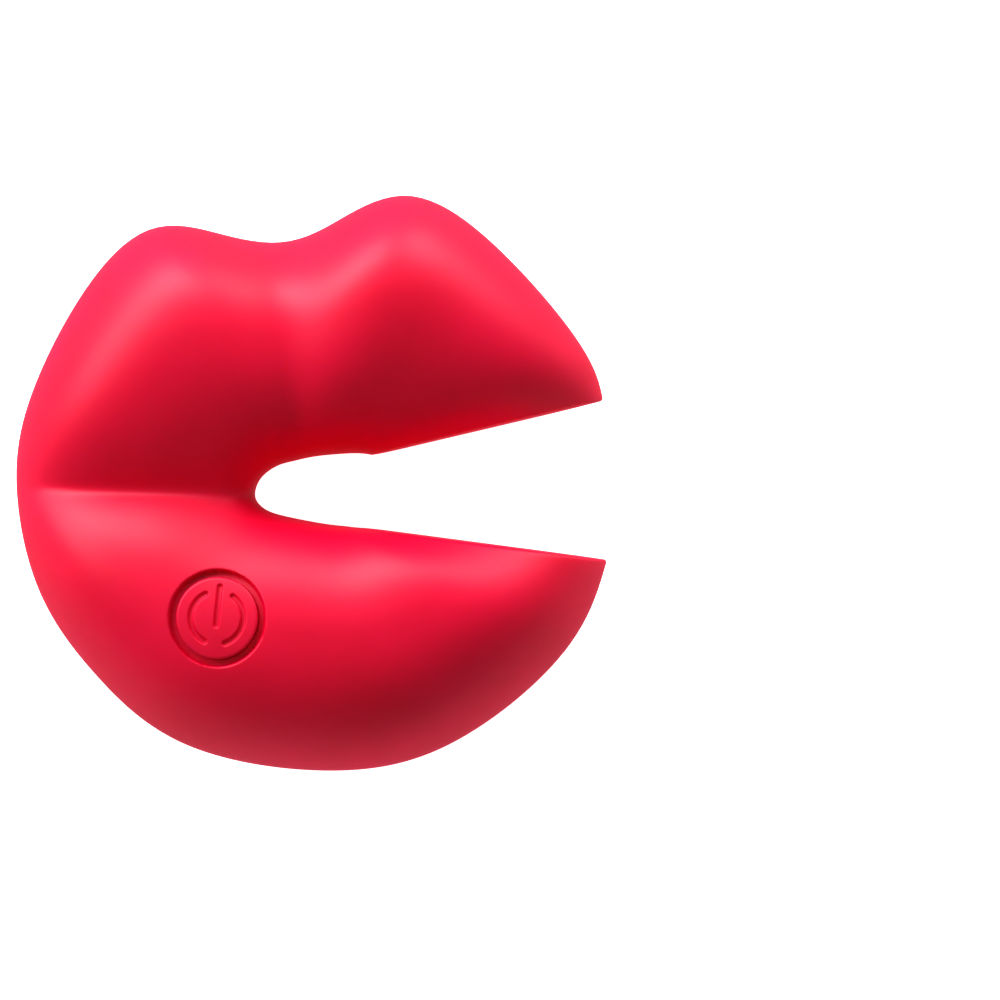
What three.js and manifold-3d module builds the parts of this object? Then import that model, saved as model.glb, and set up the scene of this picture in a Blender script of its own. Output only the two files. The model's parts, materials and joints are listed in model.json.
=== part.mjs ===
// A rechargeable handheld massager shaped like a pair of lips, in soft silicone.
// The lips are one soft body that bends at its closed mouth corner. The lower lip holds the cell, the board
// and the button, and the upper lip holds the motor. Millimetres. +X runs along the mouth to its open
// corner, +Y runs up to the bow of the upper lip, +Z comes out of the front, and the flat back is on z = 0.
import * as THREE from "three";
import { mergeVertices } from "three/addons/utils/BufferGeometryUtils.js";
import Module from "manifold-3d";

const wasm = await Module();
wasm.setup();

// ---- Driving dimensions ----

// Stations around the mouth, from the upper lip's cut face, over the bow, round the closed corner and along
// the lower lip to its cut face. Each holds the mouth edge's x and y, the rim's x and y, the height of the
// crown, and the crown's share of the way from the mouth edge to the rim.
const STATIONS = [
  [5.95, 2.93, 30.6, 5.5, 17.5, 0.46],
  [5.2, 3.15, 28.9, 11.8, 20.0, 0.46],
  [4.3, 3.3, 21.7, 22.7, 21.5, 0.47],
  [3.2, 3.4, 13.0, 29.3, 22.5, 0.5],
  [1.0, 3.5, 4.5, 27.2, 21.8, 0.5],
  [-0.8, 3.45, -1.2, 26.2, 21.0, 0.5],
  [-2.2, 3.3, -6.7, 27.8, 21.8, 0.5],
  [-3.6, 3.1, -14.0, 29.2, 22.5, 0.5],
  [-5.0, 2.5, -21.9, 23.3, 22.0, 0.5],
  [-6.0, 1.6, -28.6, 13.3, 21.5, 0.5],
  [-6.5, 0.4, -31.2, 3.9, 21.2, 0.5],
  [-6.2, -0.65, -30.1, -7.0, 21.6, 0.48],
  [-5.1, -1.6, -25.2, -16.5, 22.0, 0.46],
  [-2.9, -2.5, -16.6, -24.8, 22.5, 0.45],
  [0.2, -3.5, -2.0, -29.2, 22.5, 0.45],
  [2.2, -4.0, 11.2, -27.6, 22.5, 0.45],
  [3.2, -4.25, 23.4, -19.8, 21.6, 0.45],
  [4.1, -4.45, 28.9, -11.0, 18.0, 0.45],
];
const LAST_STATION = STATIONS.length - 1;
const PLAN_SHIFT = 0.3; // puts the middle of the outline on x = 0

const RIM_HEIGHT = 6; // the parting edge above the back
const RIM_REACH = 8; // how far the back curves in from the parting edge
const RIM_SWEEP = 62; // degrees of arc in that curve
const WALL_TOP = 11; // where the mouth's wall starts to roll over to the crown
const WALL_REACH = 3; // how far the mouth's wall rounds in to the back
const OUTER_FULLNESS = 2.35; // superellipse powers of the two sides of the crown
const INNER_FULLNESS = 2.1;
const CREASE = { depth: 4.6, upper: 6, lower: 4, mouth: 7, fade: 2 };

const REST_GAP = 0.05; // between parts that rest on each other
const CUT_REACH = 40; // how far a cutting tool runs past the lips

const SLEEVE_WALL = { mouth: 3.2, rim: 4.4, front: 3.3 };
const CORE_WALL = 1.2;
const CORE_PARTING = 10.6;
const CORE_GAP = 0.3; // between a core and its sleeve, and half of that between the two core halves
const UPPER_CORE = [0.5, 8.1]; // first and last station of each core
const LOWER_CORE = [11.4, 16.5];
const STATION_STEP = 22; // about how far apart the stations are near the cores' ends

const CORNER = { x: -19, y: 2.2, slope: -0.13, halfWedge: 4.4, gap: 0.5 };
const LEAD_CHANNEL_RADIUS = 1.7;
const LEAD_WAY = { upper: [-9.9, 11.0], lower: [-16.2, -8.4] }; // where each channel ends inside its core

const BUTTON = { x: -11.5, y: -11.55, pad: 4.46, groove: 0.85, grooveDepth: 0.6, clearance: 0.3, travel: 0.5 };
const PAD_THICKNESS = 1.8;
const PLUNGER = { radius: 1.7, bottom: 16.3, discRadius: 3, discThickness: 0.6, recess: 0.7 };
const BOARD = { x: -10.6, y: -12.4, length: 11, width: 9, bottom: 12.2, thickness: 1, turn: -43 };
const SWITCH = { side: 4.6, height: 2.4, stemRadius: 1, bore: 1.2, floor: 0.6 };

const CELL = { x: 4.6, y: -16.0, z: 10.6, radius: 4.2, length: 17, turn: 12, rim: 0.5, tip: 1.6, tipLength: 0.6 };
const CELL_PAD = { length: 12, width: 5, thickness: 1, gap: 0.2 };
const MOTOR = { x: 5.0, y: 14.6, z: 10.7, radius: 4, length: 13, wall: 0.4, nose: 1, noseRadius: 1.8 };
const SHAFT_RADIUS = 0.75;
const WEIGHT = { radius: 3.5, length: 5, start: -11.6 };

const CONTACT = { y: -16.5, spacing: 5, radius: 1.2, bottom: 0.2, top: 5.2 };
const CONTACT_SEAT = { length: 11, width: 5.4, bottom: 0.35, top: 2.9, clearance: 0.2 };
const SCREW = { head: 1.5, headHeight: 1.1, radius: 0.8, length: 8, socket: 0.7, socketDepth: 0.6 };
const SCREW_POST = { front: 2.1, back: 2.3, clearance: 0.15, tip: 0.5 };
const SCREW_PLACES = {
  upper_screw_left: [-14.2, 18.6],
  upper_screw_right: [18.0, 12.4],
  lower_screw_middle: [-6.2, -20.6],
  lower_screw_right: [17.0, -14.6],
};

// ---- Materials ----

function finish(color, roughness, metalness = 0) {
  return new THREE.MeshStandardMaterial({ color, roughness, metalness });
}

const SILICONE = finish(0xd9104a, 0.42);
const CORE_PLASTIC = finish(0xe9e6e0, 0.5);
const STEEL = finish(0xb9bcc0, 0.35, 1);
const GOLD_PLATE = finish(0xd9b45a, 0.3, 1);
const CELL_WRAP = finish(0x2f6fb0, 0.45);
const FOAM = finish(0x3a3a3c, 0.9);
const BOARD_GREEN = finish(0x1f6b3a, 0.5);
const BLACK_PLASTIC = finish(0x1c1c1e, 0.5);
const FERRITE = finish(0x45464a, 0.7);
const COPPER = finish(0xb8703a, 0.4, 1);
const WHITE_RUBBER = finish(0xdcdcd8, 0.7);
const CLEAR_RESIN = finish(0xf2f2f4, 0.2);
const RED_WIRE = finish(0xc01818, 0.5);
const BLACK_WIRE = finish(0x202022, 0.5);

// ---- Solids ----

const PLAIN = { bevelEnabled: false };

// A closed geometry as a solid for joining and cutting.
function solid(geometry) {
  const bare = geometry.index ? geometry.toNonIndexed() : geometry.clone();
  bare.deleteAttribute("normal");
  bare.deleteAttribute("uv");
  const merged = mergeVertices(bare, 1e-4);
  return new wasm.Manifold(
    new wasm.Mesh({
      numProp: 3,
      vertProperties: merged.attributes.position.array,
      triVerts: new Uint32Array(merged.index.array),
    }),
  );
}

// A solid as a geometry again, with flat faces.
function geometryOf(body) {
  const mesh = body.getMesh();
  const geometry = new THREE.BufferGeometry();
  geometry.setAttribute("position", new THREE.BufferAttribute(new Float32Array(mesh.vertProperties), 3));
  geometry.setIndex(new THREE.BufferAttribute(new Uint32Array(mesh.triVerts), 1));
  const flat = geometry.toNonIndexed();
  flat.computeVertexNormals();
  return flat;
}

// A round bar along Z, from one height to another.
function post(x, y, bottom, top, radius, sides = 24) {
  const bar = new THREE.CylinderGeometry(radius, radius, top - bottom, sides);
  return bar.rotateX(Math.PI / 2).translate(x, y, (bottom + top) / 2);
}

// A solid of revolution about X from [x, radius] pairs. They start and end on the axis or close on themselves.
function turned(profile, y, z, sides = 24) {
  const points = profile.map(([x, radius]) => new THREE.Vector2(radius, x));
  const lathe = new THREE.LatheGeometry(points, sides);
  return lathe.rotateZ(-Math.PI / 2).translate(0, y, z);
}

// A plate or block with vertical sides over an outline of [x, y] points.
function slab(outline, bottom, top) {
  const shape = new THREE.Shape(outline.map(([x, y]) => new THREE.Vector2(x, y)));
  const block = new THREE.ExtrudeGeometry(shape, { ...PLAIN, depth: top - bottom });
  return block.translate(0, 0, bottom);
}

// A plate with round ends, its length along X.
function roundEnded(x, y, length, width, bottom, top) {
  const radius = width / 2;
  const reach = length / 2 - radius;
  const shape = new THREE.Shape();
  shape.absarc(reach, 0, radius, -Math.PI / 2, Math.PI / 2);
  shape.absarc(-reach, 0, radius, Math.PI / 2, (3 * Math.PI) / 2);
  const plate = new THREE.ExtrudeGeometry(shape, { ...PLAIN, depth: top - bottom, curveSegments: 8 });
  return plate.translate(x, y, bottom);
}

// A lead of round section through hand-placed points.
function lead(points, radius = 0.45) {
  const path = new THREE.CatmullRomCurve3(points.map((point) => new THREE.Vector3(...point)));
  const section = new THREE.Shape();
  section.absarc(0, 0, radius, 0, 2 * Math.PI);
  return new THREE.ExtrudeGeometry(section, { ...PLAIN, steps: 14, curveSegments: 4, extrudePath: path });
}

// A closed surface through rings of the same number of points, its two ends closed by fans.
function loft(rings) {
  const around = rings[0].length;
  const points = rings.flat();
  const faces = [];
  for (let ring = 0; ring + 1 < rings.length; ring += 1) {
    for (let i = 0; i < around; i += 1) {
      const here = ring * around + i;
      const beside = ring * around + ((i + 1) % around);
      faces.push(here, here + around, beside);
      faces.push(beside, here + around, beside + around);
    }
  }
  for (const [ring, flip] of [[0, true], [rings.length - 1, false]]) {
    const middle = new THREE.Vector3();
    rings[ring].forEach((point) => middle.addScaledVector(point, 1 / around));
    points.push(middle);
    for (let i = 0; i < around; i += 1) {
      const here = ring * around + i;
      const beside = ring * around + ((i + 1) % around);
      faces.push(...(flip ? [here, beside, points.length - 1] : [beside, here, points.length - 1]));
    }
  }
  const geometry = new THREE.BufferGeometry().setFromPoints(points);
  geometry.setIndex(faces);
  return geometry;
}

// ---- The shape of the lips ----

// The second derivatives of a natural cubic spline through evenly spaced values.
function splineBends(values) {
  const last = values.length - 1;
  const share = [0];
  const sweep = [0];
  for (let i = 1; i < last; i += 1) {
    const pivot = 4 - share[i - 1];
    share[i] = 1 / pivot;
    sweep[i] = (6 * (values[i + 1] - 2 * values[i] + values[i - 1]) - sweep[i - 1]) / pivot;
  }
  const bends = values.map(() => 0);
  for (let i = last - 1; i > 0; i -= 1) bends[i] = sweep[i] - share[i] * bends[i + 1];
  return bends;
}

const COLUMNS = STATIONS[0].map((_, column) => STATIONS.map((row) => row[column]));
const COLUMN_BENDS = COLUMNS.map(splineBends);

// The station's six values at a whole or fractional station number.
function stationAt(u) {
  const k = Math.min(Math.floor(u), LAST_STATION - 1);
  const ahead = u - k;
  const behind = 1 - ahead;
  const [mouthX, mouthY, rimX, rimY, crown, crownAt] = COLUMNS.map((column, i) => {
    const bends = COLUMN_BENDS[i];
    const curve = (behind ** 3 - behind) * bends[k] + (ahead ** 3 - ahead) * bends[k + 1];
    return behind * column[k] + ahead * column[k + 1] + curve / 6;
  });
  const mouth = new THREE.Vector2(mouthX, mouthY);
  const way = new THREE.Vector2(rimX, rimY).sub(mouth);
  return { mouth, length: way.length(), way: way.normalize(), crown, crownAt };
}

// The height of the crease line over the plan: it runs from the mouth to the rim at the closed corner.
function creaseLine(x) {
  return 0.2 - 1.6 * Math.exp(-((x / 6.5) ** 2)) + 3.8 * (Math.abs(x) / 29) ** 1.3;
}

// How deep the crease cuts into the front at a place in plan.
function creaseDepth(x, y) {
  const off = y - creaseLine(x);
  const fall = off > 0 ? Math.exp(-off / CREASE.upper) : Math.exp(off / CREASE.lower);
  return (CREASE.depth * fall) / (1 + Math.exp((CREASE.mouth - Math.abs(x)) / CREASE.fade));
}

// The lip's section as [way from mouth to rim, height, share of the crease] points, going from the rim over
// the crown to the mouth's wall, then down and back under the flat back to the rim.
function sectionPoints({ length, crown, crownAt }) {
  const top = length * crownAt;
  const outer = length - top;
  const points = [];
  for (let i = 0; i < 8; i += 1) {
    const a = (i / 8) * (Math.PI / 2);
    const out = Math.cos(a) ** (2 / OUTER_FULLNESS);
    const rise = Math.sin(a) ** (2 / OUTER_FULLNESS);
    points.push([top + outer * out, RIM_HEIGHT + (crown - RIM_HEIGHT) * rise, Math.sin(a)]);
  }
  for (let i = 0; i < 7; i += 1) {
    const a = (i / 7) * (Math.PI / 2);
    const back = Math.sin(a) ** (2 / INNER_FULLNESS);
    const rise = Math.cos(a) ** (2 / INNER_FULLNESS);
    points.push([top - top * back, WALL_TOP + (crown - WALL_TOP) * rise, Math.cos(a)]);
  }
  for (let i = 0; i < 4; i += 1) {
    const a = (i / 4) * (Math.PI / 2);
    points.push([WALL_REACH * (1 - Math.cos(a)), WALL_TOP * (1 - Math.sin(a)), 0]);
  }
  points.push([WALL_REACH, 0, 0]);
  const under = THREE.MathUtils.degToRad(RIM_SWEEP);
  for (let i = 0; i < 4; i += 1) {
    const a = (i / 4) * under;
    const way = length - RIM_REACH + (RIM_REACH * Math.sin(a)) / Math.sin(under);
    points.push([way, (RIM_HEIGHT * (1 - Math.cos(a))) / (1 - Math.cos(under)), 0]);
  }
  return points;
}

// The lips as one C-shaped solid, before the corner is split and the cavities are cut.
function lipsSolid() {
  const rings = [];
  const steps = LAST_STATION * 3;
  for (let i = 0; i <= steps; i += 1) {
    const station = stationAt((i / steps) * LAST_STATION);
    rings.push(
      sectionPoints(station).map(([way, height, crease]) => {
        const plan = station.mouth.clone().addScaledVector(station.way, way);
        return new THREE.Vector3(plan.x, plan.y, height - crease * creaseDepth(plan.x, plan.y));
      }),
    );
  }
  return solid(loft(rings));
}

// A core's outer form, or the room for it: superellipse sections that keep the sleeve's wall all round.
function coreForm([first, last], grow) {
  const rings = [];
  const endGrow = grow / STATION_STEP;
  const from = first - endGrow;
  const to = last + endGrow;
  for (let i = 0; i <= 10; i += 1) {
    const station = stationAt(from + ((to - from) * i) / 10);
    const halfWidth = (station.length - SLEEVE_WALL.mouth - SLEEVE_WALL.rim) / 2;
    const halfHeight = station.crown / 2 - SLEEVE_WALL.front;
    const ring = [];
    for (let k = 0; k < 18; k += 1) {
      const a = (k / 18) * 2 * Math.PI;
      const across = Math.sign(Math.cos(a)) * Math.abs(Math.cos(a)) ** 0.8;
      const up = Math.sign(Math.sin(a)) * Math.abs(Math.sin(a)) ** 0.8;
      const way = SLEEVE_WALL.mouth + halfWidth + (halfWidth + grow) * across;
      const plan = station.mouth.clone().addScaledVector(station.way, way);
      ring.push(new THREE.Vector3(plan.x, plan.y, station.crown / 2 + (halfHeight + grow) * up));
    }
    rings.push(ring);
  }
  return solid(loft(rings));
}

// The region of the upper (+1) or lower (-1) lip: all that lies beyond a V that opens from the corner pivot.
function lipRegion(side) {
  const far = 60;
  const along = new THREE.Vector2(1, CORNER.slope).normalize();
  const normal = new THREE.Vector2(-along.y, along.x).multiplyScalar(side);
  const rise = far * Math.tan(THREE.MathUtils.degToRad(CORNER.halfWedge));
  const at = (s, n) => [CORNER.x + along.x * s + normal.x * n, CORNER.y + along.y * s + normal.y * n];
  const outline = [at(-far, far), at(-far, CORNER.gap / 2 + rise), at(0, CORNER.gap / 2)];
  outline.push(at(far, CORNER.gap / 2 + rise), at(far, far));
  return solid(slab(side > 0 ? outline : outline.reverse(), -CUT_REACH, CUT_REACH));
}

// ---- Sleeves ----

const lips = lipsSolid();
const boardTop = BOARD.bottom + BOARD.thickness;

// The channel that takes the motor leads from one core's end to the corner pivot, at mid height.
function leadChannel([x, y]) {
  const pivot = new THREE.Vector3(CORNER.x, CORNER.y, CORE_PARTING);
  const end = new THREE.Vector3(x, y, CORE_PARTING);
  const way = new THREE.LineCurve3(pivot.clone().lerp(end, -0.15), end);
  const section = new THREE.Shape();
  section.absarc(0, 0, LEAD_CHANNEL_RADIUS, 0, 2 * Math.PI);
  return solid(new THREE.ExtrudeGeometry(section, { ...PLAIN, steps: 1, curveSegments: 8, extrudePath: way }));
}

function upperSleeve() {
  const room = coreForm(UPPER_CORE, CORE_GAP).add(leadChannel(LEAD_WAY.upper));
  return lips.intersect(lipRegion(1)).subtract(room);
}

// The lip's surface height at a place in plan, from a thin probe through the front.
function surfaceHeight(x, y) {
  return solid(post(x, y, 0, CUT_REACH, 0.2, 6)).intersect(lips).boundingBox().max[2];
}

// The way the lip faces at the button, from the heights a pad's radius to each side of its middle.
function buttonFacing() {
  const { x, y, pad } = BUTTON;
  const slopeX = (surfaceHeight(x + pad, y) - surfaceHeight(x - pad, y)) / (2 * pad);
  const slopeY = (surfaceHeight(x, y + pad) - surfaceHeight(x, y - pad)) / (2 * pad);
  return new THREE.Vector3(-slopeX, -slopeY, 1).normalize();
}

const buttonHeight = surfaceHeight(BUTTON.x, BUTTON.y);
const buttonTilt = new THREE.Quaternion().setFromUnitVectors(new THREE.Vector3(0, 0, 1), buttonFacing());

// A disc square to the lip's surface at the button, between two heights over that surface.
function buttonDisc(bottom, top, radius, sides = 32) {
  const disc = post(0, 0, bottom, top, radius, sides).applyQuaternion(buttonTilt);
  return solid(disc.translate(BUTTON.x, BUTTON.y, buttonHeight));
}

function lowerSleeve() {
  const { length, width, clearance } = CONTACT_SEAT;
  const room = coreForm(LOWER_CORE, CORE_GAP)
    .add(leadChannel(LEAD_WAY.lower))
    .add(buttonDisc(-8, 8, BUTTON.pad + BUTTON.clearance))
    .add(buttonDisc(-BUTTON.grooveDepth, 8, BUTTON.pad + BUTTON.groove))
    .add(solid(roundEnded(0, CONTACT.y, length + 2 * clearance, width + 2 * clearance, -1, CONTACT.top)));
  return lips.intersect(lipRegion(-1)).subtract(room);
}

// ---- Cores ----

// A core's two halves as hollow shells that meet at the parting plane, with a screw post at each end.
function coreHalves(span, screws, fixedParts) {
  const wallSteps = CORE_WALL / STATION_STEP;
  const inner = coreForm([span[0] + wallSteps, span[1] - wallSteps], -CORE_WALL);
  const outer = coreForm(span, 0);
  const above = solid(slab(squareAround(CUT_REACH), CORE_PARTING + CORE_GAP / 2, CUT_REACH));
  const below = solid(slab(squareAround(CUT_REACH), -CUT_REACH, CORE_PARTING - CORE_GAP / 2));
  const { clearance } = SCREW_POST;
  let front = outer.subtract(inner).intersect(above);
  let back = outer.subtract(inner).intersect(below);
  for (const [x, y] of screws) {
    front = front.add(solid(post(x, y, 0, CUT_REACH, SCREW_POST.front)).intersect(outer).intersect(above));
    back = back.add(solid(post(x, y, 0, CUT_REACH, SCREW_POST.back)).intersect(outer).intersect(below));
    front = front.subtract(solid(post(x, y, 0, screwTop() + SCREW_POST.tip, SCREW.radius + clearance)));
    back = back.subtract(solid(post(x, y, 0, CUT_REACH, SCREW.radius + clearance)));
    back = back.subtract(solid(post(x, y, 0, screwSeat(), SCREW.head + clearance)));
  }
  for (const part of fixedParts) {
    front = front.subtract(part);
    back = back.subtract(part);
  }
  return { front, back };
}

function squareAround(reach) {
  return [[-reach, -reach], [reach, -reach], [reach, reach], [-reach, reach]];
}

function screwSeat() {
  return CORE_PARTING - SCREW.length / 2;
}

function screwTop() {
  return screwSeat() + SCREW.length;
}

// A screw standing on its flat head, with a hexagon socket in the head.
function screw(x, y) {
  const headBottom = screwSeat() - SCREW.headHeight;
  const headTop = screwSeat() - REST_GAP;
  const shank = solid(post(x, y, headTop - REST_GAP, screwTop(), SCREW.radius, 16));
  const head = solid(post(x, y, headBottom, headTop, SCREW.head, 20));
  const socket = solid(post(x, y, 0, headBottom + SCREW.socketDepth, SCREW.socket, 6));
  return head.add(shank).subtract(socket);
}

// ---- Button ----

function buttonPad() {
  return buttonDisc(-PAD_THICKNESS, 8, BUTTON.pad).intersect(lips);
}

// A tilted disc under the pad, on an upright stem.
function buttonPlunger() {
  const discTop = -PAD_THICKNESS - 2 * REST_GAP;
  const disc = buttonDisc(discTop - PLUNGER.discThickness, discTop, PLUNGER.discRadius, 24);
  const stemTop = buttonHeight + discTop - PLUNGER.discThickness / 2;
  return disc.add(solid(post(BUTTON.x, BUTTON.y, PLUNGER.bottom, stemTop, PLUNGER.radius, 20)));
}

function switchBody() {
  const half = SWITCH.side / 2;
  const outline = [[-half, -half], [half, -half], [half, half], [-half, half]];
  const block = slab(outline, boardTop + REST_GAP, boardTop + SWITCH.height);
  block.rotateZ(THREE.MathUtils.degToRad(BOARD.turn)).translate(BUTTON.x, BUTTON.y, 0);
  const bore = post(BUTTON.x, BUTTON.y, boardTop + SWITCH.floor, CUT_REACH, SWITCH.bore, 16);
  return solid(block).subtract(solid(bore));
}

function switchStem() {
  const bottom = boardTop + SWITCH.floor + BUTTON.travel + 2 * REST_GAP;
  return solid(post(BUTTON.x, BUTTON.y, bottom, PLUNGER.bottom - REST_GAP, SWITCH.stemRadius, 16));
}

// ---- Board and cell ----

// Puts a block given in the board's own plan on the board.
function onBoard(x, y, length, width, bottom, top) {
  const block = new THREE.BoxGeometry(length, width, top - bottom).translate(x, y, (bottom + top) / 2);
  return block.rotateZ(THREE.MathUtils.degToRad(BOARD.turn)).translate(BOARD.x, BOARD.y, 0);
}

function circuitBoard() {
  return solid(onBoard(0, 0, BOARD.length, BOARD.width, BOARD.bottom, boardTop));
}

function batteryCell() {
  const { length, radius, rim, tip, tipLength } = CELL;
  const half = length / 2;
  const profile = [[-half, 0], [-half, radius - rim], [-half + rim, radius], [half - rim, radius]];
  profile.push([half, radius - rim], [half, tip], [half + tipLength, tip], [half + tipLength, 0]);
  const cell = turned(profile, 0, 0, 28);
  cell.rotateZ(THREE.MathUtils.degToRad(CELL.turn)).translate(CELL.x, CELL.y, CELL.z);
  return solid(cell);
}

function batteryPad() {
  const { length, width, thickness, gap } = CELL_PAD;
  const pad = new THREE.BoxGeometry(length, width, thickness);
  pad.translate(0, 0, CELL.radius + gap + thickness / 2);
  pad.rotateZ(THREE.MathUtils.degToRad(CELL.turn)).translate(CELL.x, CELL.y, CELL.z);
  return solid(pad);
}

// ---- Motor ----

function motorCan() {
  const { radius, wall, nose, noseRadius } = MOTOR;
  const start = MOTOR.x - MOTOR.length / 2;
  const end = start + MOTOR.length;
  const bore = SHAFT_RADIUS + 0.25;
  const inside = [[end, radius - wall], [start + 2 * wall, radius - wall], [start + 2 * wall, bore]];
  const snout = [[start - nose, bore], [start - nose, noseRadius], [start, noseRadius]];
  const outside = [[start, radius - wall], [start + wall, radius], [end, radius], [end, radius - wall]];
  return turned([...inside, ...snout, ...outside], MOTOR.y, MOTOR.z);
}

function motorMagnet() {
  const start = MOTOR.x - MOTOR.length / 2 + 2;
  const outer = MOTOR.radius - MOTOR.wall - REST_GAP;
  const profile = [[start, 2.9], [start, outer], [start + 8, outer], [start + 8, 2.9], [start, 2.9]];
  return turned(profile, MOTOR.y, MOTOR.z);
}

function motorEndCap() {
  const end = MOTOR.x + MOTOR.length / 2;
  const plug = MOTOR.radius - MOTOR.wall - REST_GAP;
  const profile = [[end - 1.4, 0], [end - 1.4, plug], [end + 0.1, plug], [end + 0.1, MOTOR.radius]];
  profile.push([end + 1.1, MOTOR.radius], [end + 1.1, 0]);
  return turned(profile, MOTOR.y, MOTOR.z);
}

function motorBoot() {
  const start = MOTOR.x - MOTOR.length / 2 + 2.2;
  const end = start + 8.4;
  const inner = MOTOR.radius + 2 * REST_GAP;
  const outer = inner + 0.8;
  const profile = [[start, inner], [start, outer], [end, outer], [end, inner], [start, inner]];
  return turned(profile, MOTOR.y, MOTOR.z);
}

function motorShaft() {
  const start = WEIGHT.start - 0.4;
  const end = MOTOR.x + MOTOR.length / 2 - 1.7;
  const profile = [[start, 0], [start, SHAFT_RADIUS], [end, SHAFT_RADIUS], [end, 0]];
  return turned(profile, MOTOR.y, MOTOR.z, 16);
}

function motorArmature() {
  const start = MOTOR.x - MOTOR.length / 2 + 2.2;
  const hub = SHAFT_RADIUS + REST_GAP;
  const profile = [[start, hub], [start, 2.6], [start + 7.4, 2.6], [start + 7.4, hub], [start, hub]];
  return turned(profile, MOTOR.y, MOTOR.z, 20);
}

// A half-round block on the shaft, its heavy side down.
function eccentricWeight() {
  const shape = new THREE.Shape();
  shape.absarc(0, 0, WEIGHT.radius, 0, Math.PI);
  shape.lineTo(-WEIGHT.radius * 0.45, -1.3);
  shape.lineTo(WEIGHT.radius * 0.45, -1.3);
  const bore = new THREE.Path();
  bore.absarc(0, 0, SHAFT_RADIUS + REST_GAP, 0, 2 * Math.PI, true);
  shape.holes.push(bore);
  const block = new THREE.ExtrudeGeometry(shape, { ...PLAIN, depth: WEIGHT.length, curveSegments: 16 });
  block.rotateZ(Math.PI).rotateX(Math.PI / 2).rotateZ(Math.PI / 2);
  return block.translate(WEIGHT.start, MOTOR.y, MOTOR.z);
}

// ---- Charging contacts ----

function contactSeat() {
  const { length, width, bottom, top } = CONTACT_SEAT;
  let seat = solid(roundEnded(0, CONTACT.y, length, width, bottom, top));
  for (const side of [-1, 1]) {
    const hole = post((side * CONTACT.spacing) / 2, CONTACT.y, -1, CUT_REACH, CONTACT.radius + 2 * REST_GAP);
    seat = seat.subtract(solid(hole));
  }
  return seat;
}

function chargeContact(side) {
  return post((side * CONTACT.spacing) / 2, CONTACT.y, CONTACT.bottom, CONTACT.top, CONTACT.radius);
}

// ---- Assembly ----

const object = new THREE.Group();
object.position.x = PLAN_SHIFT;

function place(name, piece, material) {
  const mesh = new THREE.Mesh(piece.isBufferGeometry ? piece : geometryOf(piece), material);
  mesh.name = name;
  object.add(mesh);
}

const screwPlaces = (lip) => Object.keys(SCREW_PLACES).filter((name) => name.startsWith(lip));
const holes = {
  contacts: [-1, 1].map((side) =>
    solid(post((side * CONTACT.spacing) / 2, CONTACT.y, -1, CONTACT.top + 0.3, CONTACT.radius + 0.15)),
  ),
  plunger: solid(post(BUTTON.x, BUTTON.y, CORE_PARTING + 2, CUT_REACH, PLUNGER.radius + BUTTON.clearance)),
  plungerDisc: buttonDisc(-PAD_THICKNESS - PLUNGER.discThickness - PLUNGER.recess, 8, BUTTON.pad),
  lowerLeads: leadChannel(LEAD_WAY.lower),
  upperLeads: leadChannel(LEAD_WAY.upper),
};
const lowerCore = coreHalves(
  LOWER_CORE,
  screwPlaces("lower").map((name) => SCREW_PLACES[name]),
  [...holes.contacts, holes.plunger, holes.plungerDisc, holes.lowerLeads],
);
const upperCore = coreHalves(
  UPPER_CORE,
  screwPlaces("upper").map((name) => SCREW_PLACES[name]),
  [holes.upperLeads],
);

place("lower_sleeve", lowerSleeve(), SILICONE);
place("lower_core_front", lowerCore.front, CORE_PLASTIC);
place("lower_core_back", lowerCore.back, CORE_PLASTIC);
place("battery_cell", batteryCell(), CELL_WRAP);
place("battery_foam_pad", batteryPad(), FOAM);
place("circuit_board", circuitBoard(), BOARD_GREEN);
place("switch_body", switchBody(), BLACK_PLASTIC);
place("control_chip", onBoard(3.4, 1.4, 2.6, 2.6, boardTop + REST_GAP, boardTop + 0.9), BLACK_PLASTIC);
place("status_led", onBoard(-4.6, -2.6, 1.6, 1.2, boardTop + REST_GAP, boardTop + 0.8), CLEAR_RESIN);
place("contact_seat", contactSeat(), BLACK_PLASTIC);
place("charge_contact_left", chargeContact(-1), GOLD_PLATE);
place("charge_contact_right", chargeContact(1), GOLD_PLATE);

place("button_pad", buttonPad(), SILICONE);
place("button_plunger", buttonPlunger(), CORE_PLASTIC);
place("switch_stem", switchStem(), WHITE_RUBBER);

place("upper_sleeve", upperSleeve(), SILICONE);
place("upper_core_front", upperCore.front, CORE_PLASTIC);
place("upper_core_back", upperCore.back, CORE_PLASTIC);
place("motor_can", motorCan(), STEEL);
place("motor_magnet", motorMagnet(), FERRITE);
place("motor_end_cap", motorEndCap(), BLACK_PLASTIC);
place("motor_boot", motorBoot(), WHITE_RUBBER);
place("motor_shaft", motorShaft(), STEEL);
place("motor_armature", motorArmature(), COPPER);
place("eccentric_weight", eccentricWeight(), STEEL);

for (const [name, [x, y]] of Object.entries(SCREW_PLACES)) place(name, screw(x, y), STEEL);

// The motor leads, red above black, cut at the corner pivot so that each part stays with its own lip.
for (const [colour, rise, material] of [["red", 0.7, RED_WIRE], ["black", -0.7, BLACK_WIRE]]) {
  const height = CORE_PARTING + rise;
  const lower = [[-18.95, 1.95, height], [-18.0, -1.6, height], [-17.0, -5.4, height], [-14.4, -10.2, height]];
  const upper = [[-18.8, 2.45, height], [-15.4, 5.7, height], [-12.0, 9.0, height], [-9.4, 9.6, height]];
  upper.push([-4, 9.0, height], [10, 9.0, height], [13.6, 10.6, height], [13.2, 13.6, height]);
  place("motor_lead_" + colour + "_lower", lead(lower), material);
  place("motor_lead_" + colour + "_upper", lead(upper), material);
}

export default object;
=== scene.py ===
import json
import math

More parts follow.
